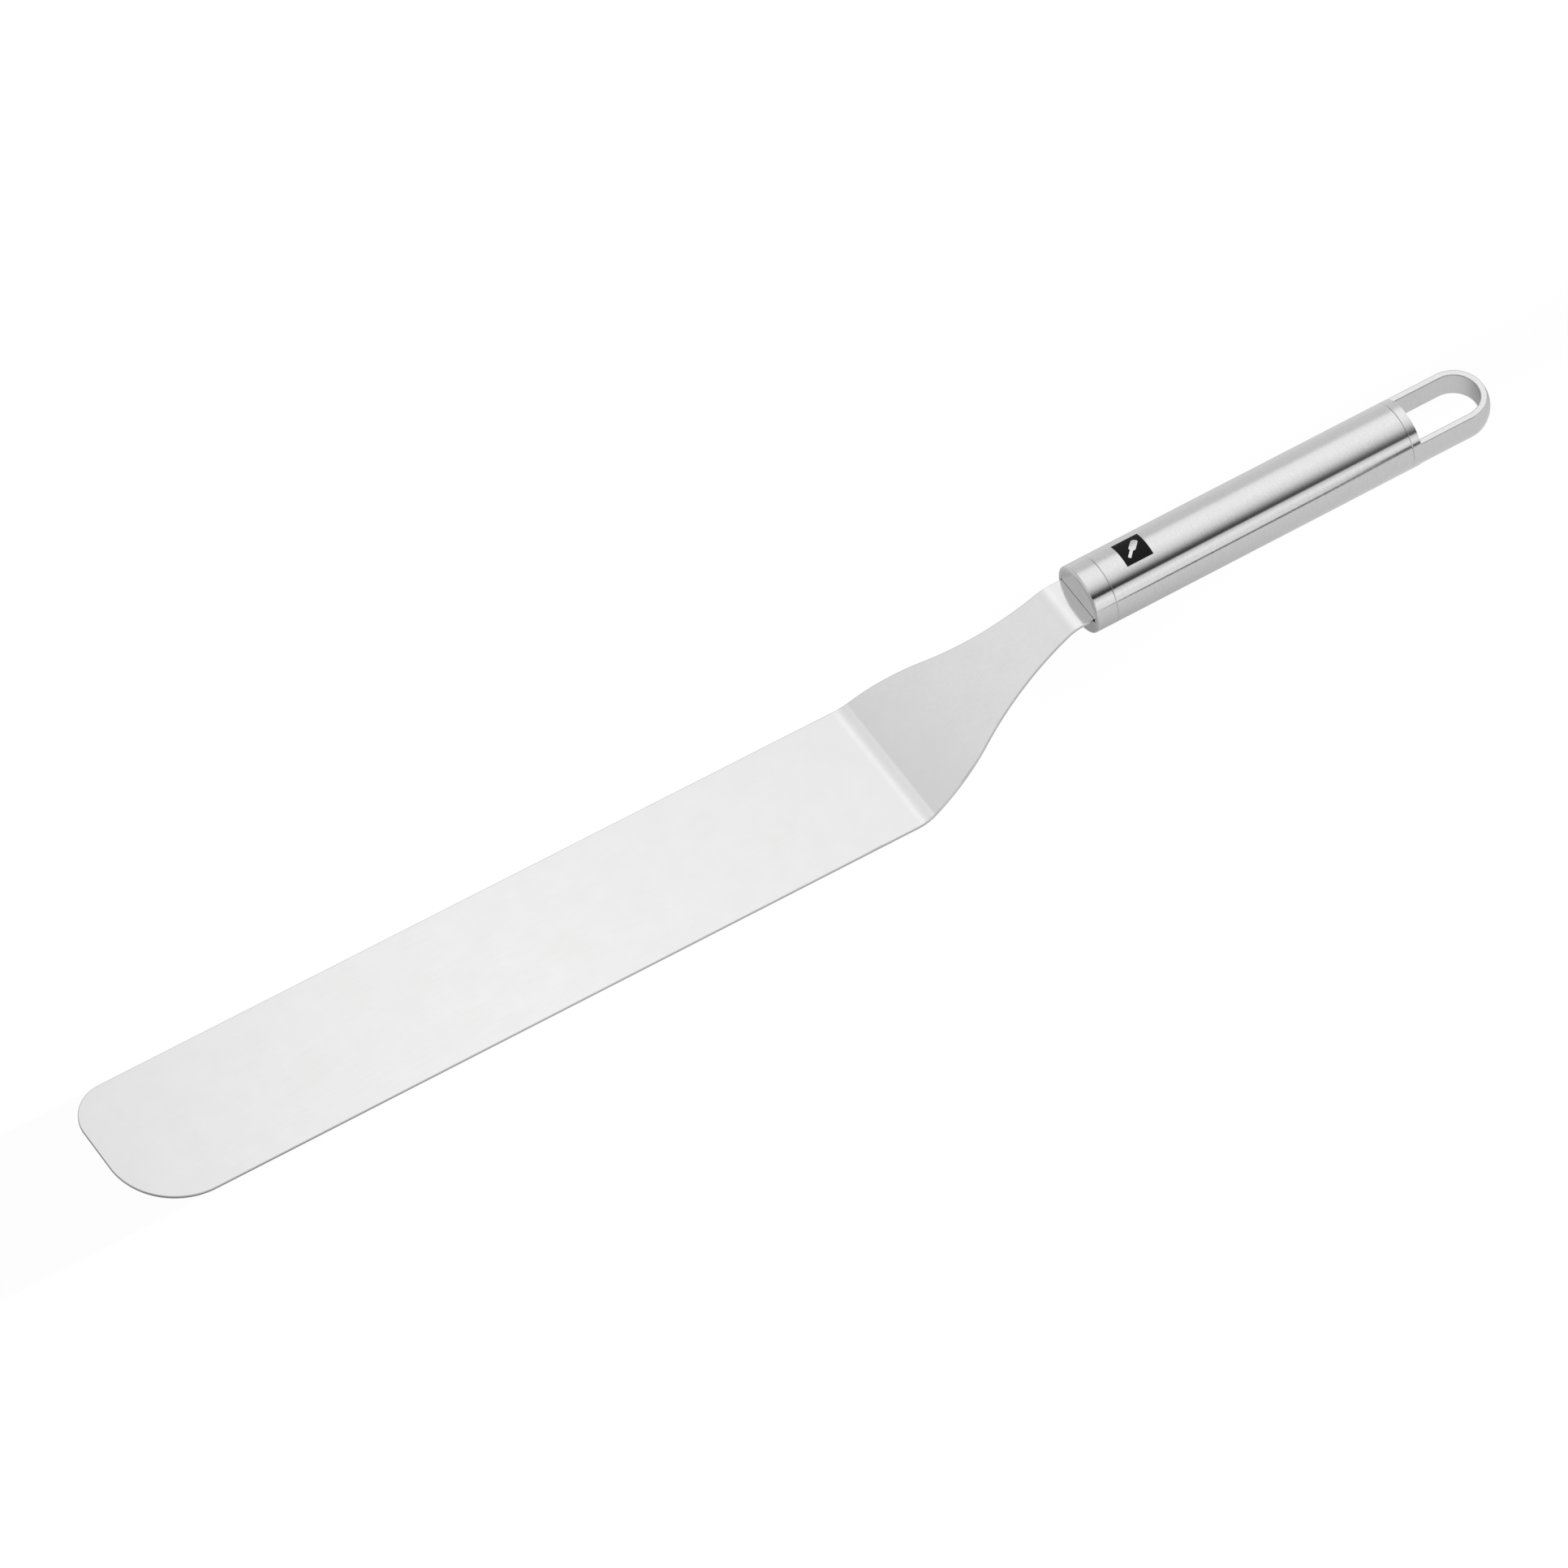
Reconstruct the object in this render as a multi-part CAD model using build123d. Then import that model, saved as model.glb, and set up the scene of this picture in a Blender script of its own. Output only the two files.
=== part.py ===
from build123d import *
import os
from math import atan, cos, degrees, radians, sin, sqrt, tan

# Offset spatula, in millimetres. The blade lies flat on Z = 0 and runs along X,
# with its tip towards -X and the handle towards +X. The origin is the centre of
# the footprint of the whole spatula.

# Blade: one stamped sheet with the neck and the tang
sheet_thickness = 0.9
blade_width = 40.6
blade_length = 220.0            # tip to the crease where the sheet turns up
tip_far_radius = 10.0           # tip corner on the +Y side
tip_near_radius = 18.5          # tip corner on the -Y side

# Neck
ramp_angle = 28.4               # slope of the neck above the blade, degrees
neck_rise = 27.1                # height of the handle axis above the blade
bend_radius = 10.0              # both bends, measured to the middle of the sheet
neck_width = 14.7
shoulder_lead = 4.0             # the sides start to draw in this far before the crease
shoulder_radius = 55.0          # convex curve of the sides
throat_straight = 3.4           # parallel sides just before the handle
straight_before_cap = 3.0       # flat sheet between the second bend and the cap

# Handle
handle_pitch = 0.7              # the handle climbs this much away from the blade, degrees
handle_diameter = 18.0
tube_length = 86.4
tube_wall = 0.6
bond_gap = 0.1                  # film of adhesive round a spigot
edge_break = 0.15               # broken edges on both sides of a seam

# Front cap
front_cap_length = 5.95         # visible length
rim_width = 1.5                 # the face rolls over into the side within this,
rim_depth = 0.5                 # over this much of the cap's length
front_cap_wall = 4.0            # solid metal before the bore starts
front_spigot_length = 8.0
front_spigot_wall = 1.5
slot_clearance = 0.15           # room above and below the sheet
slot_side_clearance = 0.25
pocket_depth = 2.5              # the neck's shoulders seat on the floor of this pocket

# Tang
tang_width = 10.0
tang_length = 30.0              # past the front face of the cap
keying_hole_diameter = 5.0      # the potting runs through it and locks the tang
keying_hole_from_end = 7.0
potting_length = 24.0           # behind the cap's solid wall

# Hanging end
end_ring_length = 2.4           # visible ring between the tube and the loop
end_spigot_length = 7.0
end_spigot_wall = 1.2
loop_straight = 15.1            # ring to the centre of the loop's round end
loop_height = 7.5               # between the two milled flats
loop_rise = 0.35                # the flats sit this much above the handle's axis
loop_opening_width = 12.9
loop_outer_round = 0.4          # rounded rims of the flats, outside the loop
loop_inner_round = 0.35         # and round its opening

# Printed badge on top of the tube
badge_size = 7.5
badge_from_tube_end = 6.25
badge_turn = 3.0                # round the tube from the top towards +Y, degrees
badge_thickness = 0.05
pictogram_blade_length = 3.6    # a plain spatula, left as bare steel
pictogram_blade_width = 1.8
pictogram_corner = 0.7
pictogram_handle_length = 2.2
pictogram_handle_width = 0.8

tolerance = 0.01                # for telling edges apart

# Worked out from the sizes above
handle_radius = handle_diameter / 2
tube_bore_radius = handle_radius - tube_wall
spigot_radius = tube_bore_radius - bond_gap
sheet_middle = sheet_thickness / 2
neck_run = neck_rise / tan(radians(ramp_angle))
second_bend_tangent = bend_radius * tan(radians(ramp_angle - handle_pitch) / 2)
cap_from_second_bend = second_bend_tangent + straight_before_cap
cap_face_x = blade_length + neck_run + cap_from_second_bend * cos(radians(handle_pitch))
cap_face_z = sheet_middle + neck_rise + cap_from_second_bend * sin(radians(handle_pitch))
tube_start = front_cap_length
tube_end = tube_start + tube_length
ring_end = tube_end + end_ring_length
loop_centre = ring_end + loop_straight
upper_flat_half = sqrt(handle_radius**2 - (loop_rise + loop_height / 2) ** 2)
upper_flat_wall = upper_flat_half - loop_opening_width / 2      # the loop's narrowest flat
outer_round = min(loop_outer_round, upper_flat_wall / 3)        # a thin wall has smaller rounds
inner_round = min(loop_inner_round, upper_flat_wall / 3)
overall_length = cap_face_x + loop_centre * cos(radians(handle_pitch)) + handle_radius

# The handle's own frame has its origin at the centre of the cap's front face and
# +X along the handle's axis. This carries it to its place beside the blade.
to_handle = Location((cap_face_x, 0, cap_face_z), (0, -handle_pitch, 0))
to_centre = Location((-overall_length / 2, 0, 0))


def rod(radius, start, end):
    """Solid round bar on the X axis, from start to end."""
    return Plane.YZ.offset(start) * extrude(Circle(radius), end - start)


def pipe(outer, inner, start, end):
    """Hollow round bar on the X axis."""
    return rod(outer, start, end) - rod(inner, start, end)


def rim_circle(solid, place):
    """Outer rim of a round bar: place 0 is the end nearest the blade, -1 the far end."""
    circles = solid.edges().filter_by(GeomType.CIRCLE)
    widest = max(circle.radius for circle in circles)
    return circles.filter_by(lambda circle: circle.radius > widest - tolerance).sort_by(Axis.X)[place]


def block(start, end, width, height):
    """Box on the X axis, from start to end, centred across."""
    return Pos((start + end) / 2, 0, 0) * Box(end - start, width, height)


def sheet_path(offset):
    """Side view of one face of the sheet, offset up from the sheet's middle."""
    pitch = radians(handle_pitch)
    ramp = radians(ramp_angle)
    corner = (blade_length + neck_run, sheet_middle + neck_rise)
    reach = cap_from_second_bend + tang_length
    tang_end = (corner[0] + reach * cos(pitch), corner[1] + reach * sin(pitch))
    first_shift = offset * tan(ramp / 2)
    second_shift = offset / cos((ramp - pitch) / 2)
    middle_angle = (ramp + pitch) / 2
    points = [
        (0, sheet_middle + offset),
        (blade_length - first_shift, sheet_middle + offset),
        (corner[0] - second_shift * sin(middle_angle), corner[1] + second_shift * cos(middle_angle)),
        (tang_end[0] - offset * sin(pitch), tang_end[1] + offset * cos(pitch)),
    ]
    return FilletPolyline(*points, radius=[bend_radius - offset, bend_radius + offset])


def side_profile():
    """The bent sheet seen from the side, standing in the XZ plane."""
    lower = sheet_path(-sheet_middle)
    upper = sheet_path(sheet_middle)
    ends = [Line(lower @ 0, upper @ 0), Line(lower @ 1, upper @ 1)]
    return Plane.XZ * make_face([*lower.edges(), *upper.edges(), *ends])


def neck_side(side):
    """One drawn-in side of the neck: a convex arc that runs into a concave one."""
    start = blade_length - shoulder_lead
    run = cap_face_x - throat_straight - start
    drop = (blade_width - neck_width) / 2
    turn = 2 * atan(drop / run)
    throat_radius = run / sin(turn) - shoulder_radius
    shoulder = JernArc((start, side * blade_width / 2), (1, 0), shoulder_radius, -side * degrees(turn))
    throat = JernArc(shoulder @ 1, shoulder % 1, throat_radius, side * degrees(turn))
    return shoulder, throat


def blade_outline():
    """The sheet seen from above: rounded tip, parallel blade, neck and tang.

    The tang runs on a little here; the side view is what ends it.
    """
    half = blade_width / 2
    half_neck = neck_width / 2
    half_tang = tang_width / 2
    far_shoulder, far_throat = neck_side(1)
    near_shoulder, near_throat = neck_side(-1)
    seat_x = cap_face_x + pocket_depth * cos(radians(handle_pitch))
    past_tang = cap_face_x + tang_length + sheet_thickness
    edges = [
        Line(far_shoulder @ 0, (tip_far_radius, half)),
        JernArc((tip_far_radius, half), (-1, 0), tip_far_radius, 90),
        Line((0, half - tip_far_radius), (0, tip_near_radius - half)),
        JernArc((0, tip_near_radius - half), (0, -1), tip_near_radius, 90),
        Line((tip_near_radius, -half), near_shoulder @ 0),
        near_shoulder,
        near_throat,
        Polyline(near_throat @ 1, (seat_x, -half_neck), (seat_x, -half_tang), (past_tang, -half_tang)),
        Line((past_tang, -half_tang), (past_tang, half_tang)),
        Polyline((past_tang, half_tang), (seat_x, half_tang), (seat_x, half_neck), far_throat @ 1),
        far_throat,
        far_shoulder,
    ]
    return make_face([edge for part in edges for edge in part.edges()])


def make_blade():
    """Blade, neck and tang: one sheet, bent twice, with a keying hole in the tang."""
    sheet = extrude(side_profile(), blade_width / 2, both=True)
    outline = extrude(blade_outline(), cap_face_z + handle_radius)
    hole = Cylinder(keying_hole_diameter / 2, 4 * sheet_thickness)
    hole_place = to_handle * Pos(tang_length - keying_hole_from_end, 0, 0)
    return sheet & outline - hole_place * hole


def cap_head():
    """Visible part of the front cap: a disc whose face rolls over into its side."""
    shoulder = handle_radius - rim_width
    rim = EllipticalCenterArc((rim_depth, shoulder), rim_depth, rim_width, 90, arc_size=90)
    outline = Polyline(
        (0, shoulder),
        (0, 0),
        (front_cap_length, 0),
        (front_cap_length, handle_radius - edge_break),
        (front_cap_length - edge_break, handle_radius),
        (rim_depth, handle_radius),
    )
    return revolve(make_face([*rim.edges(), *outline.edges()]), Axis.X)


def make_front_cap():
    """Cap with a rounded rim, a slot for the neck and a bored spigot inside the tube."""
    spigot_end = front_cap_length + front_spigot_length
    cap = cap_head() + rod(spigot_radius, front_cap_length, spigot_end)
    cap -= rod(spigot_radius - front_spigot_wall, front_cap_wall, spigot_end)
    slot_height = sheet_thickness + 2 * slot_clearance
    cap -= block(0, pocket_depth, neck_width + 2 * slot_side_clearance, slot_height)
    cap -= block(0, front_cap_wall, tang_width + 2 * slot_side_clearance, slot_height)
    return to_handle * cap


def make_tube():
    """Plain handle tube between the two caps."""
    bar = rod(handle_radius, tube_start, tube_end)
    bar = chamfer([rim_circle(bar, 0), rim_circle(bar, -1)], edge_break)
    return to_handle * (bar - rod(tube_bore_radius, tube_start, tube_end))


def flat_edges(solid, reach):
    """Edges on the loop's two milled flats that stay within reach of the handle's middle."""
    on_flats = solid.edges().filter_by(
        lambda edge: abs(abs(edge.center().Z - loop_rise) - loop_height / 2) < tolerance)
    past_ring = on_flats.filter_by(lambda edge: edge.bounding_box().max.X > ring_end + outer_round)
    return past_ring.filter_by(lambda edge: abs(edge.bounding_box().max.Y) < reach + tolerance)


def make_hanging_end():
    """End ring, spigot and hanging loop, machined from one bar with a ball end."""
    bar = rod(handle_radius, ring_end, loop_centre) + Pos(loop_centre, 0, 0) * Sphere(handle_radius)
    between_flats = block(ring_end, loop_centre + handle_radius, handle_diameter, loop_height)
    band = bar & Pos(0, 0, loop_rise) * between_flats
    band = fillet(flat_edges(band, handle_radius), outer_round)
    opening_radius = loop_opening_width / 2
    opening = block(ring_end, loop_centre, loop_opening_width, handle_diameter)
    opening += Pos(loop_centre, 0, 0) * Cylinder(opening_radius, handle_diameter)
    loop = band - opening
    loop = fillet(flat_edges(loop, opening_radius), inner_round)
    ring = rod(handle_radius, tube_end, ring_end)
    ring = chamfer(rim_circle(ring, 0), edge_break)
    spigot = pipe(spigot_radius, spigot_radius - end_spigot_wall, tube_end - end_spigot_length, tube_end)
    return to_handle * (loop + ring + spigot)


def make_tang_potting(blade):
    """Resin that fills the cap's bore and the front of the tube round the tang."""
    spigot_end = front_cap_length + front_spigot_length
    potting_end = front_cap_wall + potting_length
    resin = rod(spigot_radius - front_spigot_wall, front_cap_wall, spigot_end)
    resin += rod(tube_bore_radius, spigot_end, potting_end)
    return to_handle * resin - blade


def make_bond(start, end):
    """Film of adhesive between a spigot and the tube's bore."""
    return to_handle * pipe(tube_bore_radius, spigot_radius, start, end)


def make_badge():
    """Square print on top of the tube, with a plain spatula pictogram left bare."""
    start = tube_start + badge_from_tube_end
    centre = start + badge_size / 2
    skin = pipe(handle_radius + badge_thickness, handle_radius, start, start + badge_size)
    square = Pos(centre, 0, handle_radius) * Box(badge_size, badge_size, handle_radius)
    blade_mark = Rectangle(pictogram_blade_length, pictogram_blade_width)
    blade_mark = fillet(blade_mark.vertices(), pictogram_corner)
    handle_mark = Rectangle(pictogram_handle_length + pictogram_corner, pictogram_handle_width)
    pictogram = Pos(pictogram_handle_length / 2, 0) * blade_mark
    pictogram += Pos((pictogram_corner - pictogram_blade_length) / 2, 0) * handle_mark
    window = Pos(centre, 0, 0) * Rot(0, 0, 45) * extrude(pictogram, handle_diameter)
    return to_handle * Rot(-badge_turn, 0, 0) * (skin & square - window)


def build():
    """Every piece of the spatula, by name, round the common origin."""
    blade = make_blade()
    spigot_end = front_cap_length + front_spigot_length
    pieces = {
        "blade": blade,
        "front_cap": make_front_cap(),
        "handle_tube": make_tube(),
        "hanging_end": make_hanging_end(),
        "tang_potting": make_tang_potting(blade),
        "front_bond": make_bond(tube_start, spigot_end),
        "rear_bond": make_bond(tube_end - end_spigot_length, tube_end),
        "badge_print": make_badge(),
    }
    return {name: to_centre * piece for name, piece in pieces.items()}


os.makedirs("parts", exist_ok=True)
for name, piece in build().items():
    export_step(piece, f"parts/{name}.step")
    box = piece.bounding_box()
    print(f"{name:14s} volume {piece.volume:9.1f} mm3  solids {len(piece.solids())}"
          f"  x {box.min.X:.2f}..{box.max.X:.2f}  z {box.min.Z:.2f}..{box.max.Z:.2f}")
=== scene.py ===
# %% [markdown]
# # Offset spatula in stainless steel
# The spatula is one bent sheet of polished steel, a turned front cap, a brushed
# tube and a machined hanging end. Its shape comes from the CAD frame, which is
# loaded first and never moved. This notebook adds the studio, the camera and the
# finishes, because bare metal only looks like metal when it has something to mirror.

# %% Load the frame
import math

import bmesh
import bpy
import numpy as np
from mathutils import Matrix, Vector


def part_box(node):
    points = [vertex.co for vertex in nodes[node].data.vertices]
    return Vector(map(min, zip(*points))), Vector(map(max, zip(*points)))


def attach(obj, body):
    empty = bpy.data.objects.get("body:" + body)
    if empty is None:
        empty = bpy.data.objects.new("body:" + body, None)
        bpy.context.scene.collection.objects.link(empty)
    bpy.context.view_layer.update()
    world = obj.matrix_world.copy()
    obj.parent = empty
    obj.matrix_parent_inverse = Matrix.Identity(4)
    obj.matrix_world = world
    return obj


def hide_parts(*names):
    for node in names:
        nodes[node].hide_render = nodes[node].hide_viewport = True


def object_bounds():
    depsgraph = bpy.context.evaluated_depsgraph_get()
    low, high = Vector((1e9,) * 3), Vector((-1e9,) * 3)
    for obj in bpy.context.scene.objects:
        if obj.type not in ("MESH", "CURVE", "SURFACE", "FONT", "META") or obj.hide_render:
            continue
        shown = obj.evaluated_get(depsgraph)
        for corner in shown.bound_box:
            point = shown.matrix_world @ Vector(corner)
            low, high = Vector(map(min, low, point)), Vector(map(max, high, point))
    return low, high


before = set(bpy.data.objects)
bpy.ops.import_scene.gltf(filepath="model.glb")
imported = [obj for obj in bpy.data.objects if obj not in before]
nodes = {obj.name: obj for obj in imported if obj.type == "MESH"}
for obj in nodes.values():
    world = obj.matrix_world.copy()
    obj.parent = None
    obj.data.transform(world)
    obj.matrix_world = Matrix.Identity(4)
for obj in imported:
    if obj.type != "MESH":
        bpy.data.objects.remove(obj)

cad_low, cad_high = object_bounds()
print("loaded", sorted(nodes), "size", [round(b - a, 4) for a, b in zip(cad_low, cad_high)])

# %% [markdown]
# ## Small tools
# A surface is a grid of points worked out as one array, so a single function can
# put any of them into a mesh. A material is a handful of nodes, so one function
# adds a node, sets it and joins it up. Colours are written as sRGB hex, the way a
# paint chart gives them, and turned into the linear values that light adds up in.

# %% Surfaces from grids of points
MM = 0.001


def cells(points, closed=False):
    """Faces of an (nu, nv, 3) grid: each cell of four neighbouring points is one face."""
    nu, nv = points.shape[:2]
    rows = np.arange(nu if closed else nu - 1)
    i, j = np.meshgrid(rows, np.arange(nv - 1), indexing="ij")
    after = (i + 1) % nu
    return np.stack([i * nv + j, after * nv + j, after * nv + j + 1, i * nv + j + 1], -1).reshape(-1, 4)


def surface(name, grids, material):
    """One mesh from several grids, each (points, closed). Points that meet become one."""
    starts = np.cumsum([0] + [points.shape[0] * points.shape[1] for points, _ in grids])
    faces = np.concatenate([cells(*grid) + start for grid, start in zip(grids, starts)])
    mesh = bpy.data.meshes.new(name)
    mesh.from_pydata(np.concatenate([points.reshape(-1, 3) for points, _ in grids]), [], faces)
    if len(grids) > 1:
        solid = bmesh.new()
        solid.from_mesh(mesh)
        bmesh.ops.remove_doubles(solid, verts=solid.verts, dist=0.0005 * MM)
        bmesh.ops.recalc_face_normals(solid, faces=solid.faces)
        open_edges = sum(not edge.is_manifold for edge in solid.edges)
        print(name, "has", open_edges, "open edges and a volume of", solid.calc_volume() / MM ** 3, "mm3")
        solid.to_mesh(mesh)
        solid.free()
    mesh.polygons.foreach_set("use_smooth", np.ones(len(mesh.polygons), dtype=bool))
    mesh.materials.append(material)
    mesh.update()
    piece = bpy.data.objects.new(name, mesh)
    bpy.context.scene.collection.objects.link(piece)
    print("made", name, len(mesh.polygons), "faces")
    return piece


# %% Colours and nodes
def linear(hex_colour):
    """sRGB hex to linear light: below 0.04045 it is a straight line, above it a 2.4 power."""
    srgb = np.array([int(hex_colour[k:k + 2], 16) / 255 for k in (1, 3, 5)])
    light = np.where(srgb <= 0.04045, srgb / 12.92, ((srgb + 0.055) / 1.055) ** 2.4)
    return (*light.tolist(), 1.0)


def add(tree, kind, inputs=None, **settings):
    """Add one node. Settings are its properties; each input is a value or the socket that feeds it."""
    node = tree.nodes.new(kind)
    for name, value in settings.items():
        setattr(node, name, value)
    for socket, value in (inputs or {}).items():
        if isinstance(value, bpy.types.NodeSocket):
            tree.links.new(value, node.inputs[socket])
        else:
            node.inputs[socket].default_value = value
    return node


def new_material(name):
    """An empty node material and its output node."""
    material = bpy.data.materials.new(name)
    material.use_nodes = True
    material.node_tree.nodes.clear()
    return material, material.node_tree, add(material.node_tree, "ShaderNodeOutputMaterial")


def set_stops(ramp, stops):
    """Give a Color Ramp grey stops: (place, level) pairs in rising order."""
    elements = ramp.color_ramp.elements
    while len(elements) < len(stops):
        elements.new(1.0)
    for element, (place, level) in zip(elements, stops):
        element.position = place
        element.color = (level, level, level, 1.0)


print("tools ready")

# %% [markdown]
# ## The handle's own frame
# The blade lies flat, but the handle climbs away from it by 0.7 degrees. Anything
# that follows the handle, such as the brushing, needs the handle's own axis: a
# point where it starts, at the middle of the cap's face, and the slope.

# %% Handle axis
HANDLE_PITCH = math.radians(0.7)
HANDLE_RADIUS = 9.0 * MM
axis = Vector((math.cos(HANDLE_PITCH), 0.0, math.sin(HANDLE_PITCH)))
cap_low, cap_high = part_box("front_cap")
cap_face_centre = (cap_low[0] + HANDLE_RADIUS * axis.z, 0.0, (cap_low[2] + cap_high[2]) / 2)
tube_low, tube_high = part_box("handle_tube")
tube_middle = (Vector(tube_low) + Vector(tube_high)) / 2
print("handle axis", axis, "tube middle", tube_middle)

# %% [markdown]
# ## Camera
# A long lens from well back keeps the sides of the blade nearly parallel. The
# camera stands on the near side, a third of the way round towards the tip, and
# looks down steeply, so that the top of the blade and the offset both show.

# %% Camera
AZIMUTH, ELEVATION = math.radians(-32.44), math.radians(53.27)
LOOK_AT = Vector((-0.5, 8.7, 0.0)) * MM
DISTANCE = 3.55
back = Vector((math.sin(AZIMUTH) * math.cos(ELEVATION),
               -math.cos(AZIMUTH) * math.cos(ELEVATION), math.sin(ELEVATION)))
camera_data = bpy.data.cameras.new("camera")
camera_data.lens = 336.0
camera_data.sensor_width = 36.0
camera_data.clip_end = 50.0
camera = bpy.data.objects.new("camera", camera_data)
camera.location = LOOK_AT + back * DISTANCE
camera.rotation_mode = "QUATERNION"
camera.rotation_quaternion = (-back).to_track_quat("-Z", "Y")
bpy.context.scene.collection.objects.link(camera)
bpy.context.scene.camera = camera
bpy.context.scene.view_settings.view_transform = "Standard"
print("camera at", camera.location)

# %% [markdown]
# ## Studio
# Polished cutlery is usually lit inside a light tent: a vault of white cloth,
# lit from outside, with a darker gap where the cloth stops. The tube mirrors the
# vault as stripes along its length, so the stripes on the handle are a picture of
# how bright the cloth is at each angle. The tent here is a half cylinder round the
# spatula with that brightness painted on it. The camera looks straight through it.
# The floor glows as well as being lit, so that shadows stay faint.

# %% Brightness of the tent
TENT_RADIUS = 0.7
TENT_HALF_LENGTH = 1.4
TENT_EDGE = 100            # the angles run this many degrees to each side of straight up
FULL_LEVEL = 1.6           # radiance of a stop at 1.0

# Degrees from straight up, towards the near side, and radiance there. The first
# list is the vault over the front of the handle and the second over its rear.
VAULT_FRONT = [
    (-100, 1.0), (-62, 0.96), (-53, 0.97), (-48, 1.1), (-41, 1.4), (-30, 1.52), (-8, 1.52), (2, 1.42),
    (10, 1.3), (17, 1.16), (24, 0.92), (30, 0.64), (35, 0.34), (40, 0.08), (44, 0.0), (50.2, 0.0),
    (51.4, 0.7), (55, 1.05), (62, 1.34), (69, 1.66), (77, 1.5), (90, 1.5), (100, 1.4)]
VAULT_REAR = [
    (-100, 1.0), (-62, 1.0), (-53, 1.06), (-48, 1.18), (-41, 1.4), (-30, 1.52), (-8, 1.52), (2, 1.42),
    (10, 1.3), (17, 1.14), (24, 0.9), (30, 0.66), (35, 0.5), (42, 0.3), (47, 0.2), (50.4, 0.3),
    (51.4, 0.75), (55, 1.05), (62, 1.3), (66, 1.4), (70, 1.14), (77, 1.0), (90, 1.0), (100, 0.95)]
VAULTS_MEET = 0.31, 0.44   # metres along the tent between which the front list gives way to the rear

# Distance along the tent in metres, and how much of the light is left there. The
# cloth is dimmer towards the tip and past it, which the slope of the neck mirrors.
DIMMED_HALF = 0.5          # the distances run this far to each side of the middle
DIMMING = [
    (-0.5, 0.64), (-0.4, 0.67), (-0.37, 0.725), (-0.352, 0.79), (-0.335, 0.84), (-0.31, 0.86),
    (-0.16, 0.81), (-0.02, 0.86), (0.04, 0.95), (0.09, 0.995), (0.14, 1.015), (0.19, 0.99),
    (0.24, 0.97), (0.262, 0.945), (0.3, 0.96), (0.32, 1.0)]


def tent_stops(levels):
    """Angles from one edge of the tent to the other become places of 0 to 1 along a Color Ramp."""
    return [((angle + TENT_EDGE) / (2 * TENT_EDGE), level / FULL_LEVEL) for angle, level in levels]


print(len(VAULT_FRONT), "and", len(VAULT_REAR), "stops round the tent,", len(DIMMING), "along it")

# %% Tent material
tent_cloth, tree, output = new_material("tent_cloth_lit_from_outside")
where = add(tree, "ShaderNodeTexCoord")
split = add(tree, "ShaderNodeSeparateXYZ", {0: where.outputs["Object"]})
toward_near = add(tree, "ShaderNodeMath", {0: split.outputs["Y"], 1: -1.0}, operation="MULTIPLY")
angle = add(tree, "ShaderNodeMath", {0: toward_near.outputs[0], 1: split.outputs["Z"]},
            operation="ARCTAN2")
place = add(tree, "ShaderNodeMapRange", {"Value": angle.outputs[0], "From Min": math.radians(-TENT_EDGE),
                                         "From Max": math.radians(TENT_EDGE)})
front = add(tree, "ShaderNodeValToRGB", {"Fac": place.outputs[0]})
set_stops(front, tent_stops(VAULT_FRONT))
rear = add(tree, "ShaderNodeValToRGB", {"Fac": place.outputs[0]})
set_stops(rear, tent_stops(VAULT_REAR))
along = add(tree, "ShaderNodeMapRange", {"Value": split.outputs["X"], "From Min": VAULTS_MEET[0],
                                         "From Max": VAULTS_MEET[1]})
vault = add(tree, "ShaderNodeMix", {"Factor": along.outputs[0], "A": front.outputs["Color"],
                                    "B": rear.outputs["Color"]}, data_type="RGBA")
length_place = add(tree, "ShaderNodeMapRange", {"Value": split.outputs["X"], "From Min": -DIMMED_HALF,
                                                "From Max": DIMMED_HALF})
dimming = add(tree, "ShaderNodeValToRGB", {"Fac": length_place.outputs[0]})
set_stops(dimming, [((x + DIMMED_HALF) / (2 * DIMMED_HALF), level) for x, level in DIMMING])
gain = add(tree, "ShaderNodeMath", {0: dimming.outputs["Color"], 1: FULL_LEVEL}, operation="MULTIPLY")
cloth = add(tree, "ShaderNodeEmission", {"Color": vault.outputs["Result"], "Strength": gain.outputs[0]})
tree.links.new(cloth.outputs[0], output.inputs["Surface"])
print("tent material", len(tree.nodes), "nodes")

# %% Tent
turn, reach = np.meshgrid(np.radians(np.linspace(-90, 90, 91)),
                          np.linspace(-TENT_HALF_LENGTH, TENT_HALF_LENGTH, 15), indexing="ij")
vault_points = np.stack([reach, -TENT_RADIUS * np.sin(turn), TENT_RADIUS * np.cos(turn)], -1)
tent = surface("tent", [(vault_points, False)], tent_cloth)
tent.visible_camera = False

# %% Floor
WHITE = (1.0, 1.0, 1.0, 1.0)
PAPER_GREY = 0.08          # the share of the light falling on it that it gives back
PAPER_GLOW = 0.95
FLOOR_HALF = 8.0


def level_sheet(x_span, y_span, height):
    """A level rectangle as a grid of 3 by 3 points, between two places along and across."""
    across, deep = np.meshgrid(np.linspace(*x_span, 3), np.linspace(*y_span, 3), indexing="ij")
    return np.stack([across, deep, np.full_like(across, height)], -1)


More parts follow.
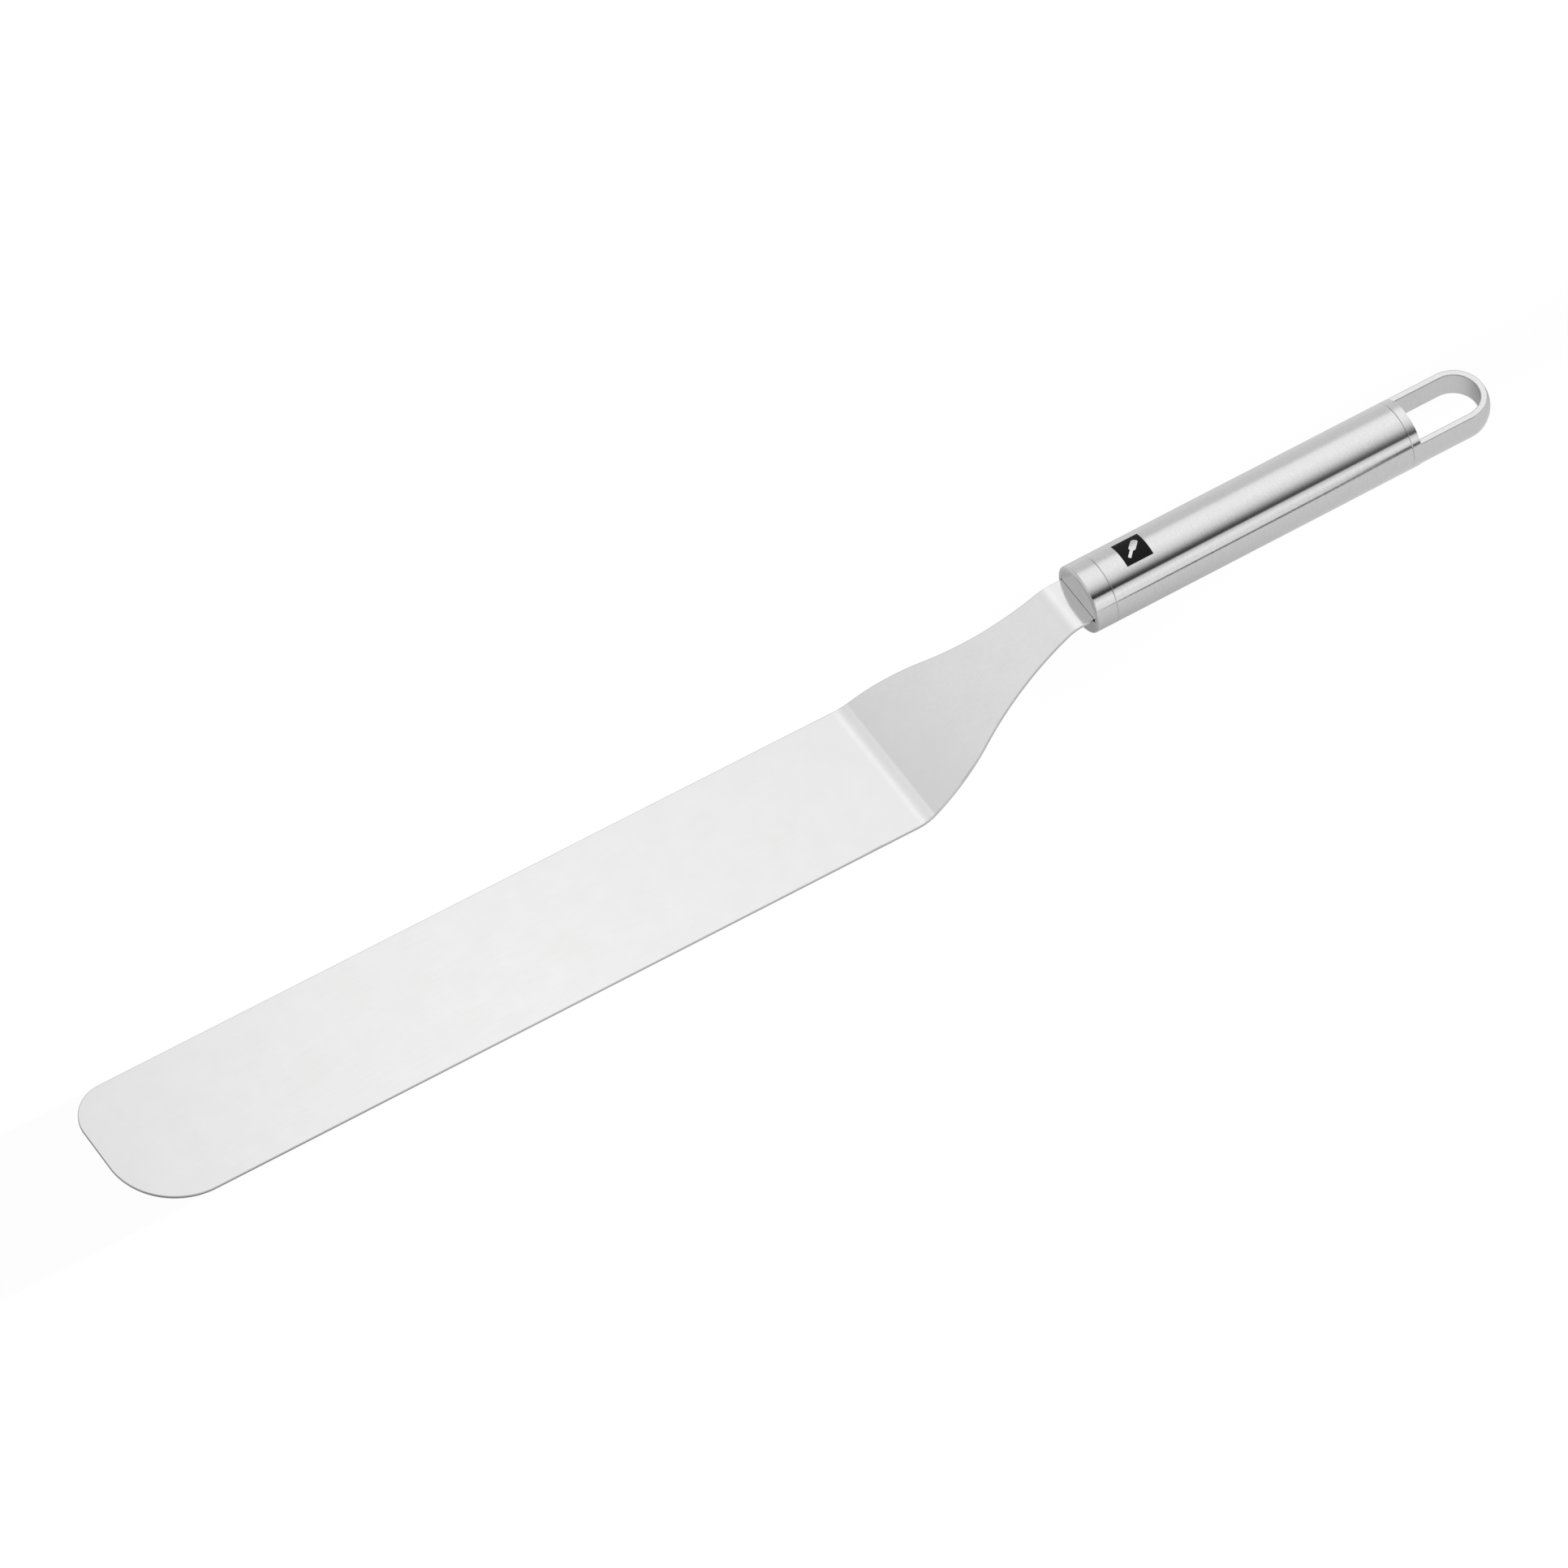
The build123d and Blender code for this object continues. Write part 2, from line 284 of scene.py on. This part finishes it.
floor_paper, tree, output = new_material("floor_white_paper")
matt = add(tree, "ShaderNodeBsdfDiffuse", {"Color": (PAPER_GREY, PAPER_GREY, PAPER_GREY, 1.0)})
glow = add(tree, "ShaderNodeEmission", {"Color": WHITE, "Strength": PAPER_GLOW})
both = add(tree, "ShaderNodeAddShader", {0: matt.outputs[0], 1: glow.outputs[0]})
tree.links.new(both.outputs[0], output.inputs["Surface"])
floor_points = level_sheet((-FLOOR_HALF, FLOOR_HALF), (-FLOOR_HALF, FLOOR_HALF), 0.0)
floor = surface("floor", [(floor_points, False)], floor_paper)

# %% [markdown]
# ## Flags and the shade on the floor
# Bright metal on a white ground has no outline of its own. A studio gives it
# one with flags, strips of black card just out of view: the tube mirrors the long
# strip as a thin dark line, and the rolled rim of the cap mirrors the short one.
# Where the line falls on the tube sets the strip's place: the ray that leaves the
# tube at that angle is followed to the strip's plane. The shade that the spatula
# itself throws on the floor is drawn as a second floor that only reflections see,
# so the underside of the tube and the cut edge of the blade darken, and the
# visible floor stays white.

# %% Long flag beside the handle
FLAG_PLANE = -60 * MM
# Distance from the cap's face in mm, and the two angles from straight up, towards
# the near side, between which the tube mirrors the flag.
FLAG_SPAN = np.array([(6, 94.3, 97.8), (10, 94.0, 97.8), (30, 93.0, 97.6), (50, 92.0, 97.0),
                      (68, 90.4, 96.0), (78, 87.0, 94.4), (84, 82.5, 92.8), (95, 81.0, 91.5),
                      (130, 81.0, 91.5)])
SPILL_FROM, SPILL_TO = 0.16, 0.19      # metres along, between which stray light on the card grows
SPILL = 0.12


def flag_edge(column):
    """Points (n, 3) where rays from the tube at the given angles meet the flag's plane.

    The camera sits a fixed angle round the handle, so a ray that turns by an angle
    leaves the tube from half-way between the two.
    """
    turn = np.radians(FLAG_SPAN[:, column])
    camera_turn = math.atan2(-back.y, back.z)
    start_turn = (turn + camera_turn) / 2
    start = np.array(cap_face_centre) + FLAG_SPAN[:, :1] * MM * np.array(axis)
    start = start + HANDLE_RADIUS * np.stack([0 * turn, -np.sin(start_turn), np.cos(start_turn)], -1)
    round_part = math.hypot(back.y, back.z)
    ray = np.stack([0 * turn - back.x, -round_part * np.sin(turn), round_part * np.cos(turn)], -1)
    return start + (FLAG_PLANE - start[:, 1:2]) / ray[:, 1:2] * ray


black_card, tree, output = new_material("black_flag_card")
where = add(tree, "ShaderNodeTexCoord")
split = add(tree, "ShaderNodeSeparateXYZ", {0: where.outputs["Object"]})
spill = add(tree, "ShaderNodeMapRange", {"Value": split.outputs["X"], "From Min": SPILL_FROM,
                                         "From Max": SPILL_TO, "To Min": 0.0, "To Max": SPILL})
card = add(tree, "ShaderNodeEmission", {"Strength": spill.outputs[0]})
tree.links.new(card.outputs[0], output.inputs["Surface"])
long_flag = surface("long_flag", [(np.stack([flag_edge(1), flag_edge(2)], 1), False)], black_card)

# %% Short flag before the cap
# It stands on the near side of the neck, level with the top of the handle. Its three
# folds are given in metres, along and across, and then its lower and upper edge.
RIM_FLAG = np.array([(0.035, -0.045), (0.022, -0.028), (0.02, -0.015)])
RIM_FLAG_LOW, RIM_FLAG_HIGH = 0.034, 0.046
low_edge = np.insert(RIM_FLAG, 2, RIM_FLAG_LOW, axis=1)
high_edge = np.insert(RIM_FLAG, 2, RIM_FLAG_HIGH, axis=1)
rim_flag = surface("rim_flag", [(np.stack([low_edge, high_edge], 1), False)], black_card)
for flag in (long_flag, rim_flag):
    flag.visible_camera = flag.visible_shadow = flag.visible_diffuse = False

# %% Shade under the handle
# It is a soft ridge, 1 / (1 + (distance / width) squared). Towards the loop its middle
# drifts to the far side and it gets narrower. All places are in metres.
HANDLE_SHADE = 0.55
SHADE_GROWS = 0.02, 0.07
SHADE_DRIFTS = 0.08, 0.18
RIDGE_MIDDLE = 0.010, 0.025
RIDGE_WIDTH = 0.030, 0.015
shaded_floor, tree, output = new_material("floor_seen_in_reflections")
where = add(tree, "ShaderNodeTexCoord")
split = add(tree, "ShaderNodeSeparateXYZ", {0: where.outputs["Object"]})
middle, width = [
    add(tree, "ShaderNodeMapRange", {"Value": split.outputs["X"], "From Min": SHADE_DRIFTS[0],
                                     "From Max": SHADE_DRIFTS[1], "To Min": at_front, "To Max": at_rear})
    for at_front, at_rear in (RIDGE_MIDDLE, RIDGE_WIDTH)]
distance = add(tree, "ShaderNodeMath", {0: split.outputs["Y"], 1: middle.outputs[0]}, operation="SUBTRACT")
widths = add(tree, "ShaderNodeMath", {0: distance.outputs[0], 1: width.outputs[0]}, operation="DIVIDE")
squared = add(tree, "ShaderNodeMath", {0: widths.outputs[0], 1: 2.0}, operation="POWER")
ridge = add(tree, "ShaderNodeMath", {0: squared.outputs[0], 1: 1.0}, operation="ADD")
start = add(tree, "ShaderNodeMapRange", {"Value": split.outputs["X"], "From Min": SHADE_GROWS[0],
                                         "From Max": SHADE_GROWS[1], "To Max": HANDLE_SHADE})
handle_shade = add(tree, "ShaderNodeMath", {0: start.outputs[0], 1: ridge.outputs[0]}, operation="DIVIDE")
print("handle shade", len(tree.nodes), "nodes")

# %% Shade beside the blade
# It is a thin dark line where the sheet meets the floor, deepest near the tip.
HALF_BLADE = 20.3 * MM
LINE_WIDTH = 2.2 * MM
LINE_DEPTH = 0.62, 0.36
LINE_FADES = -0.16, -0.09
LINE_ENDS = 0.022, 0.032
aside = add(tree, "ShaderNodeMath", {0: split.outputs["Y"]}, operation="ABSOLUTE")
line_depth = add(tree, "ShaderNodeMapRange", {"Value": split.outputs["X"], "From Min": LINE_FADES[0],
                                              "From Max": LINE_FADES[1], "To Min": LINE_DEPTH[0],
                                              "To Max": LINE_DEPTH[1]})
beside = add(tree, "ShaderNodeMapRange", {"Value": aside.outputs[0], "From Min": HALF_BLADE,
                                          "From Max": HALF_BLADE + LINE_WIDTH,
                                          "To Min": line_depth.outputs[0], "To Max": 0.0})
blade_end = add(tree, "ShaderNodeMapRange", {"Value": split.outputs["X"], "From Min": LINE_ENDS[0],
                                             "From Max": LINE_ENDS[1], "To Min": 1.0, "To Max": 0.0})
blade_shade = add(tree, "ShaderNodeMath", {0: beside.outputs[0], 1: blade_end.outputs[0]},
                  operation="MULTIPLY")
print("handle and blade shade", len(tree.nodes), "nodes")

# %% Floor for the reflections
SHADE_ALONG, SHADE_ACROSS = (-0.28, 0.34), (-0.19, 0.19)
SHADE_HEIGHT = 0.05 * MM
shade = add(tree, "ShaderNodeMath", {0: handle_shade.outputs[0], 1: blade_shade.outputs[0]},
            operation="ADD")
bright = add(tree, "ShaderNodeMath", {0: 1.0, 1: shade.outputs[0]}, operation="SUBTRACT")
glow = add(tree, "ShaderNodeEmission", {"Color": WHITE, "Strength": bright.outputs[0]})
tree.links.new(glow.outputs[0], output.inputs["Surface"])
shade_points = level_sheet(SHADE_ALONG, SHADE_ACROSS, SHADE_HEIGHT)
shade_sheet = surface("floor_shade", [(shade_points, False)], shaded_floor)
shade_sheet.visible_camera = False

# %% Room behind the tent
ROOM_GLOW = 1.05
world = bpy.data.worlds.new("white_room")
world.use_nodes = True
background = world.node_tree.nodes["Background"]
background.inputs["Color"].default_value = WHITE
background.inputs["Strength"].default_value = ROOM_GLOW
bpy.context.scene.world = world
print("room glows at", ROOM_GLOW)

# %% [markdown]
# ## Polished blade steel
# The blade is 18/10 stainless sheet, finely polished on both sides. It is close
# to a mirror, yet a large flat sheet is never perfectly even: the polish varies a
# little over a few millimetres, and very fine marks run along the blade. So the
# base is a metal with a low roughness, and two sizes of noise move the roughness,
# the colour and the bump by small amounts. The cut edge of the sheet was sheared
# and only deburred, so wherever the surface stands upright it is a little darker
# and rougher.

# %% Polished blade steel
PATCH_SIZE = 9.0 * MM
MARK_LENGTH, MARK_PITCH = 6.0 * MM, 0.6 * MM   # coarser than the real ones, which are too fine to show
# Levelness is 1 on a level face and 0 on an upright one. The cut edge fades in between these.
EDGE_FROM, EDGE_TO = 0.35, 0.15
polished_steel, tree, output = new_material("stainless_18_10_fine_polished")
where = add(tree, "ShaderNodeTexCoord")
patches = add(tree, "ShaderNodeTexNoise", {"Vector": where.outputs["Object"], "Scale": 1 / PATCH_SIZE,
                                           "Detail": 3.0, "Roughness": 0.6})
grain_place = add(tree, "ShaderNodeMapping", {"Vector": where.outputs["Object"],
                                              "Scale": (1 / MARK_LENGTH, 1 / MARK_PITCH, 1 / MARK_PITCH)})
grain = add(tree, "ShaderNodeTexNoise", {"Vector": grain_place.outputs[0], "Scale": 1.0, "Detail": 4.0})
tone = add(tree, "ShaderNodeMix", {"Factor": patches.outputs["Fac"], "A": linear("#C4C4C3"),
                                   "B": linear("#CACACB")}, data_type="RGBA")
polish = add(tree, "ShaderNodeMapRange", {"Value": grain.outputs["Fac"], "From Min": 0.3, "From Max": 0.7,
                                          "To Min": 0.09, "To Max": 0.16})
geometry = add(tree, "ShaderNodeNewGeometry")
facing = add(tree, "ShaderNodeSeparateXYZ", {0: geometry.outputs["True Normal"]})
levelness = add(tree, "ShaderNodeMath", {0: facing.outputs["Z"]}, operation="ABSOLUTE")
cut_edge = add(tree, "ShaderNodeMapRange", {"Value": levelness.outputs[0], "From Min": EDGE_FROM,
                                            "From Max": EDGE_TO})
edge_tone = add(tree, "ShaderNodeMix", {"Factor": cut_edge.outputs[0], "A": tone.outputs["Result"],
                                        "B": linear("#C0C0C0")}, data_type="RGBA")
edge_polish = add(tree, "ShaderNodeMix", {"Factor": cut_edge.outputs[0], "A": polish.outputs[0], "B": 0.2})
relief = add(tree, "ShaderNodeBump", {"Height": grain.outputs["Fac"], "Strength": 0.04,
                                        "Distance": 0.1 * MM})
steel = add(tree, "ShaderNodeBsdfPrincipled", {"Base Color": edge_tone.outputs["Result"], "Metallic": 1.0,
                                               "Roughness": edge_polish.outputs[0],
                                               "Normal": relief.outputs[0]})
tree.links.new(steel.outputs[0], output.inputs["Surface"])
print("polished steel", len(tree.nodes), "nodes")

# %% [markdown]
# ## Brushed handle steel
# The tube and both caps were brushed on a lathe, so the scratches run round the
# handle. Each scratch is a tiny groove, which smears a reflection along the handle
# and leaves it sharp round the handle: that is why the stripes have clean edges.
# An anisotropic metal does this when its tangent follows the handle's axis. On top,
# a noise squeezed along the axis draws the scratches themselves, drawn 0.2 mm
# apart because the real ones are too fine to show.

# %% Brushed steel for the tube and the caps
SCRATCH_PITCH = 0.2 * MM
SCRATCH_LENGTH = 3.0 * MM
GRAIN_SIZE = 0.2 * MM      # the sparkle between the scratches, also drawn coarser than it is


def brushed_steel(name, light_tone, dark_tone, smooth_level, rough_level):
    """Metal brushed round the handle: scratch noise drives the tone, roughness and bump."""
    material, tree, output = new_material(name)
    where = add(tree, "ShaderNodeTexCoord")
    centre = add(tree, "ShaderNodeMapping", {"Vector": where.outputs["Object"],
                                             "Location": tuple(-tube_middle)})
    level = add(tree, "ShaderNodeMapping", {"Vector": centre.outputs[0],
                                            "Rotation": (0.0, HANDLE_PITCH, 0.0)})
    squeeze = add(tree, "ShaderNodeMapping", {"Vector": level.outputs[0],
                                              "Scale": (1 / SCRATCH_PITCH, 1 / SCRATCH_LENGTH,
                                                        1 / SCRATCH_LENGTH)})
    scratches = add(tree, "ShaderNodeTexNoise", {"Vector": squeeze.outputs[0], "Scale": 1.0,
                                                 "Detail": 5.0, "Roughness": 0.65})
    grain = add(tree, "ShaderNodeTexNoise", {"Vector": level.outputs[0], "Scale": 1 / GRAIN_SIZE,
                                             "Detail": 1.0})
    both = add(tree, "ShaderNodeMath", {0: scratches.outputs["Fac"], 1: grain.outputs["Fac"]},
               operation="ADD")
    lightness = add(tree, "ShaderNodeMapRange", {"Value": both.outputs[0], "From Min": 0.7,
                                                 "From Max": 1.3})
    tone = add(tree, "ShaderNodeMix", {"Factor": lightness.outputs[0], "A": linear(dark_tone),
                                       "B": linear(light_tone)}, data_type="RGBA")
    polish = add(tree, "ShaderNodeMapRange", {"Value": scratches.outputs["Fac"], "From Min": 0.3,
                                              "From Max": 0.7, "To Min": smooth_level,
                                              "To Max": rough_level})
    relief = add(tree, "ShaderNodeBump", {"Height": scratches.outputs["Fac"], "Strength": 0.08,
                                          "Distance": 0.1 * MM})
    along = add(tree, "ShaderNodeCombineXYZ", {"X": axis.x, "Y": axis.y, "Z": axis.z})
    steel = add(tree, "ShaderNodeBsdfPrincipled", {"Base Color": tone.outputs["Result"], "Metallic": 1.0,
                                                   "Roughness": polish.outputs[0], "Anisotropic": 1.0,
                                                   "Tangent": along.outputs[0],
                                                   "Normal": relief.outputs[0]})
    tree.links.new(steel.outputs[0], output.inputs["Surface"])
    print(name, len(tree.nodes), "nodes")
    return material


tube_steel = brushed_steel("stainless_tube_brushed_round", "#C8C8C8", "#BABABA", 0.14, 0.17)
cap_steel = brushed_steel("stainless_bar_turned_satin", "#C7C7C7", "#BBBBBB", 0.14, 0.17)

# %% [markdown]
# ## Black print
# The square on top of the tube is black ink, printed straight on the steel and
# baked. Ink is a dielectric with a soft gloss, so it is nearly black with a mid
# roughness, and a fine noise breaks up the gloss where the brushing shows through.

# %% Black print
SPECK_SIZE = 0.25 * MM
black_ink, tree, output = new_material("screen_print_ink_black_baked")
where = add(tree, "ShaderNodeTexCoord")
specks = add(tree, "ShaderNodeTexNoise", {"Vector": where.outputs["Object"], "Scale": 1 / SPECK_SIZE,
                                          "Detail": 2.0})
tone = add(tree, "ShaderNodeMix", {"Factor": specks.outputs["Fac"], "A": linear("#0A0A0A"),
                                   "B": linear("#161616")}, data_type="RGBA")
gloss = add(tree, "ShaderNodeMapRange", {"Value": specks.outputs["Fac"], "To Min": 0.38, "To Max": 0.55})
ink = add(tree, "ShaderNodeBsdfPrincipled", {"Base Color": tone.outputs["Result"], "IOR": 1.5,
                                             "Specular IOR Level": 0.08,
                                             "Roughness": gloss.outputs[0]})
tree.links.new(ink.outputs[0], output.inputs["Surface"])
print("black ink", len(tree.nodes), "nodes")

# %% [markdown]
# ## Resin and adhesive
# These two are shut inside the handle. The potting is grey filled epoxy, cast
# round the tang, and the bonds are thin films of clear amber epoxy. They matter
# only when the handle is taken apart, so each is a plain dielectric with the
# cloudiness of its filler.

# %% Resin and adhesive
def cast_epoxy(name, light_tone, dark_tone, filler_size, roughness):
    """Epoxy with a cloudy filler: one noise mixes two tones."""
    material, tree, output = new_material(name)
    where = add(tree, "ShaderNodeTexCoord")
    filler = add(tree, "ShaderNodeTexNoise", {"Vector": where.outputs["Object"], "Scale": 1 / filler_size,
                                              "Detail": 4.0})
    tone = add(tree, "ShaderNodeMix", {"Factor": filler.outputs["Fac"], "A": linear(dark_tone),
                                       "B": linear(light_tone)}, data_type="RGBA")
    relief = add(tree, "ShaderNodeBump", {"Height": filler.outputs["Fac"], "Strength": 0.2,
                                          "Distance": 0.2 * MM})
    epoxy = add(tree, "ShaderNodeBsdfPrincipled", {"Base Color": tone.outputs["Result"], "IOR": 1.55,
                                                   "Roughness": roughness, "Normal": relief.outputs[0]})
    tree.links.new(epoxy.outputs[0], output.inputs["Surface"])
    print(name, len(tree.nodes), "nodes")
    return material


potting = cast_epoxy("epoxy_filled_cast_grey", "#8C8A84", "#6E6C68", 1.5 * MM, 0.5)
adhesive = cast_epoxy("epoxy_film_cured_amber", "#C8A870", "#A88850", 0.8 * MM, 0.35)

# %% [markdown]
# ## Blade, neck and tang
# The blade, the neck and the tang are one stamped sheet, bent twice. Polishing
# rolls every arris over by a fifth of a millimetre, and that thin round catches
# the light as a line. A flat mesh with a Solidify modifier would have knife-sharp
# corners, so the sheet is made of surfaces: the outline is a function of the
# distance from the tip, a rounded edge is carried round that outline, flat faces
# span it above and below, and one last function bends everything.

# %% Sizes of the sheet
THICKNESS = 0.9 * MM
ARRIS = 0.2 * MM
HALF_NECK, HALF_TANG = 7.35 * MM, 5.0 * MM
FAR_CORNER, NEAR_CORNER = 10.0 * MM, 18.5 * MM
CREASE = 220.0 * MM          # from the tip to where the blade turns up
RAMP = math.radians(28.4)
RISE = 27.1 * MM
BEND_RADIUS = 10.0 * MM
FLAT_BEFORE_CAP = 3.0 * MM
SHOULDER_START, SHOULDER_RADIUS = 216.0 * MM, 55.0 * MM
THROAT_STRAIGHT = 3.4 * MM
SEAT_DEPTH = 2.5 * MM        # the neck runs this far into the cap, the tang goes on
SEAT_SLOPE = 0.3 * MM
TANG_LENGTH = 30.0 * MM
HOLE_RADIUS, HOLE_FROM_END = 2.5 * MM, 7.0 * MM
HOLE_PATCH_HALF = 4.5 * MM   # half the length of the patch of faces round the hole
BEND_REACH = 5.0 * MM        # a little longer than either bend, so its stations cover it

second_crease = CREASE + RISE / math.tan(RAMP)
second_tangent = BEND_RADIUS * math.tan((RAMP - HANDLE_PITCH) / 2)
cap_face = second_crease + (second_tangent + FLAT_BEFORE_CAP) * axis.x
first_bend = CREASE - BEND_RADIUS * math.tan(RAMP / 2)
second_bend = second_crease - second_tangent * math.cos(RAMP)
throat_end = cap_face - THROAT_STRAIGHT
seat = cap_face + SEAT_DEPTH * axis.x
tang_end = cap_face + TANG_LENGTH * axis.x
hole_centre = cap_face + (TANG_LENGTH - HOLE_FROM_END) * axis.x
# The shoulder and the throat turn by the same angle, which sets the throat's radius.
run, drop = throat_end - SHOULDER_START, HALF_BLADE - HALF_NECK
shoulder_turn = 2 * math.atan(drop / run)
throat_radius = run / math.sin(shoulder_turn) - SHOULDER_RADIUS
shoulder_end = SHOULDER_START + SHOULDER_RADIUS * math.sin(shoulder_turn)
print("from tip to cap", cap_face / MM, "throat radius", throat_radius / MM)


# %% Outline and bend
def fall(radius, distance):
    """How far an arc drops from its tangent.

    It is the radius less the root of radius squared less distance squared.
    """
    return radius - np.sqrt(np.maximum(radius ** 2 - distance ** 2, 0.0))


def side_of_sheet(x, sign, corner):
    """Plan points (n, 2) of one side of the sheet and the directions (n, 2) that face outwards.

    A corner arc at the tip, a straight side, a convex shoulder, a concave throat, then
    the parallel neck and the tang. sign is 1 on the far side and -1 on the near side.
    """
    parts = [x < corner, x < SHOULDER_START, x < shoulder_end, x < throat_end, x < seat + SEAT_SLOPE / 2]
    zero = np.zeros_like(x)
    half = np.select(parts, [HALF_BLADE - fall(corner, corner - x), zero + HALF_BLADE,
                             HALF_BLADE - fall(SHOULDER_RADIUS, x - SHOULDER_START),
                             HALF_NECK + fall(throat_radius, throat_end - x), zero + HALF_NECK],
                     HALF_TANG)
    lean = np.select(parts, [(x - corner) / corner, zero, (x - SHOULDER_START) / SHOULDER_RADIUS,
                             (throat_end - x) / throat_radius, zero], 0.0)
    outward = np.stack([lean, sign * np.sqrt(1 - lean ** 2)], -1)
    outward[-1] = (1.0, 0.0)
    return np.stack([x, sign * half], -1), outward


def sine_of_slope(x):
    """The slope's sine grows evenly along an arc: up over the first bend, down over the second."""
    up = np.clip((x - first_bend) / BEND_RADIUS, 0.0, math.sin(RAMP))
    return up - np.clip((x - second_bend) / BEND_RADIUS, 0.0, math.sin(RAMP) - axis.z)


fine_x = np.linspace(0.0, tang_end, 20001)
fine_slope = np.tan(np.arcsin(sine_of_slope(fine_x)))
fine_height = np.concatenate([[0.0], np.cumsum(np.diff(fine_x) * (fine_slope[1:] + fine_slope[:-1]) / 2)])
print("the tang's end is", fine_height[-1] / MM, "mm above the blade")


def bent(plan, above):
    """Points (..., 3) from plan points (..., 2) and heights above the sheet's middle.

    The middle's height is the running sum of its slope, and a point stands off it at right angles.
    """
    sine = sine_of_slope(plan[..., 0])
    middle = THICKNESS / 2 + np.interp(plan[..., 0], fine_x, fine_height)
    return np.stack([plan[..., 0] - above * sine + cad_low[0], plan[..., 1] + 0.0 * sine,
                     middle + above * np.sqrt(1 - sine ** 2)], -1)


# %% Stations along the sheet
tip_stations = NEAR_CORNER * (1 - np.cos(np.radians(np.linspace(0, 90, 41))))
bend_stations = [np.linspace(start, start + BEND_REACH, 31) for start in (first_bend, second_bend)]
hole_stations = np.linspace(hole_centre - HOLE_PATCH_HALF, hole_centre + HOLE_PATCH_HALF, 13)
stations = np.unique(np.concatenate([
    tip_stations, [FAR_CORNER], np.linspace(NEAR_CORNER, SHOULDER_START, 60),
    np.linspace(SHOULDER_START, throat_end, 60), *bend_stations, [shoulder_end, seat, seat + SEAT_SLOPE],
    hole_stations, [tang_end]]).round(9))
far_side, far_out = side_of_sheet(stations, 1, FAR_CORNER)
near_side, near_out = side_of_sheet(stations, -1, NEAR_CORNER)
# Points across a face crowd near the edges, so that the round doesn't bleed into the flat.
FIRST_SHARE, SECOND_SHARE = 0.005, 0.03
even_shares = np.linspace(SECOND_SHARE, 1 - SECOND_SHARE, 15)
shares = np.concatenate([[0.0, FIRST_SHARE], even_shares, [1 - FIRST_SHARE, 1.0]])[:, None]
tip_across = far_side[0] + shares[1:-1] * (near_side[0] - far_side[0])
end_across = near_side[-1] + shares[1:-1] * (far_side[-1] - near_side[-1])
rim_line = np.concatenate([far_side[::-1], tip_across, near_side, end_across])
rim_out = np.concatenate([far_out[::-1], np.tile([-1.0, 0.0], (len(tip_across), 1)), near_out,
                          np.tile([1.0, 0.0], (len(end_across), 1))])
print(len(stations), "stations,", len(rim_line), "points round the outline")

# %% Rounded edge
# A quarter circle at the top, a straight cut, and a quarter circle at the bottom.
quarter = np.radians(np.linspace(0, 90, 6))
inset = ARRIS * (np.sin(quarter) - 1)
above = THICKNESS / 2 - ARRIS + ARRIS * np.cos(quarter)
edge_inset = np.concatenate([inset, inset[::-1]])
edge_above = np.concatenate([above, -above[::-1]])
rim_plan = rim_line[:, None] + rim_out[:, None] * edge_inset[:, None]
rim = bent(rim_plan, np.tile(edge_above, (len(rim_line), 1)))
print("rim", rim.shape)

# %% Flat faces and the keying hole in the tang
far_line = far_side - ARRIS * far_out
near_line = near_side - ARRIS * near_out
across_plan = far_line[:, None] + shares * (near_line - far_line)[:, None]
hole_start, hole_end = np.searchsorted(stations, hole_stations[[0, -1]].round(9))
patch = across_plan[hole_start:hole_end + 1]
loop = np.concatenate([patch[:-1, 0], patch[-1, :-1], patch[:0:-1, -1], patch[0, :0:-1]])
from_centre = loop - (hole_centre, 0.0)
reach = np.linalg.norm(from_centre, axis=1, keepdims=True)
hole_ring = (hole_centre, 0.0) + HOLE_RADIUS * from_centre / reach
spread = np.linspace(0, 1, 5)[:, None]
hole_patch = hole_ring[:, None] + spread * (loop - hole_ring)[:, None]
grids = [(rim, True)]
for side in (1, -1):
    level = side * THICKNESS / 2
    grids += [(bent(across_plan[:hole_start + 1], level), False),
              (bent(across_plan[hole_end:], level), False), (bent(hole_patch, level), True)]
wall = np.stack([bent(hole_ring, THICKNESS / 2), bent(hole_ring, -THICKNESS / 2)], 1)
blade_sheet = surface("blade_sheet", grids + [(wall, True)], polished_steel)
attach(blade_sheet, "root")
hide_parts("blade")

# %% [markdown]
# ## Dress the CAD nodes
# The CAD shapes are right as they are, so each keeps its mesh and gets its finish.

# %% Finishes on the nodes
FINISHES = {
    "front_cap": cap_steel,
    "handle_tube": tube_steel,
    "hanging_end": cap_steel,
    "tang_potting": potting,
    "front_bond": adhesive,
    "rear_bond": adhesive,
    "badge_print": black_ink,
}
for name, finish in FINISHES.items():
    for slot in nodes[name].material_slots:
        slot.material = finish
    print(name, "is", finish.name)
